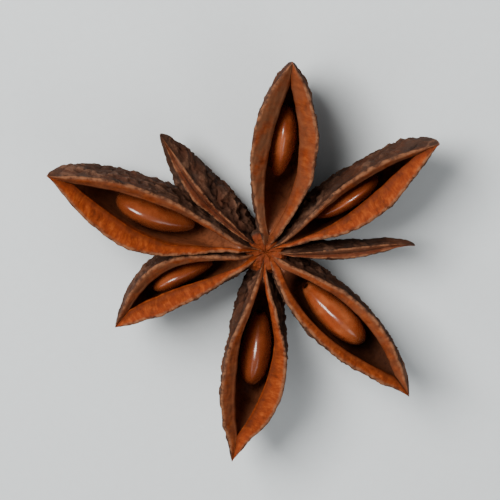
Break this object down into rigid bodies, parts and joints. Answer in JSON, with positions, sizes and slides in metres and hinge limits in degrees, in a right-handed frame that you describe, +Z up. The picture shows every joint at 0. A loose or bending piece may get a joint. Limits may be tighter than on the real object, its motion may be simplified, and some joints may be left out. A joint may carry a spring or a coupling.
{
  "type": "star anise pod",
  "caption": "Dried star-shaped spice fruit with boat-shaped carpels round a short column, most split open along the top over loose glossy seeds.",
  "frame": {"origin": "on the axis of the central column, at the flat broken end of the stem, level with the surface that the keels rest on", "axes": "+Z up, out of the open mouths; +X near the slim shut carpel named east; +Y near the carpel named north"},
  "size_m": [0.0298, 0.0321, 0.0085],
  "materials": {
    "pericarp": "rough wrinkled red-brown outside, satin orange-brown inside",
    "seed": "glossy amber brown"
  },
  "bodies": {
    "root": {"pod": "pericarp", "seed_northeast": "seed", "seed_north": "seed", "seed_west": "seed", "seed_southwest": "seed", "seed_south": "seed", "seed_southeast": "seed"}
  },
  "joints": []
}
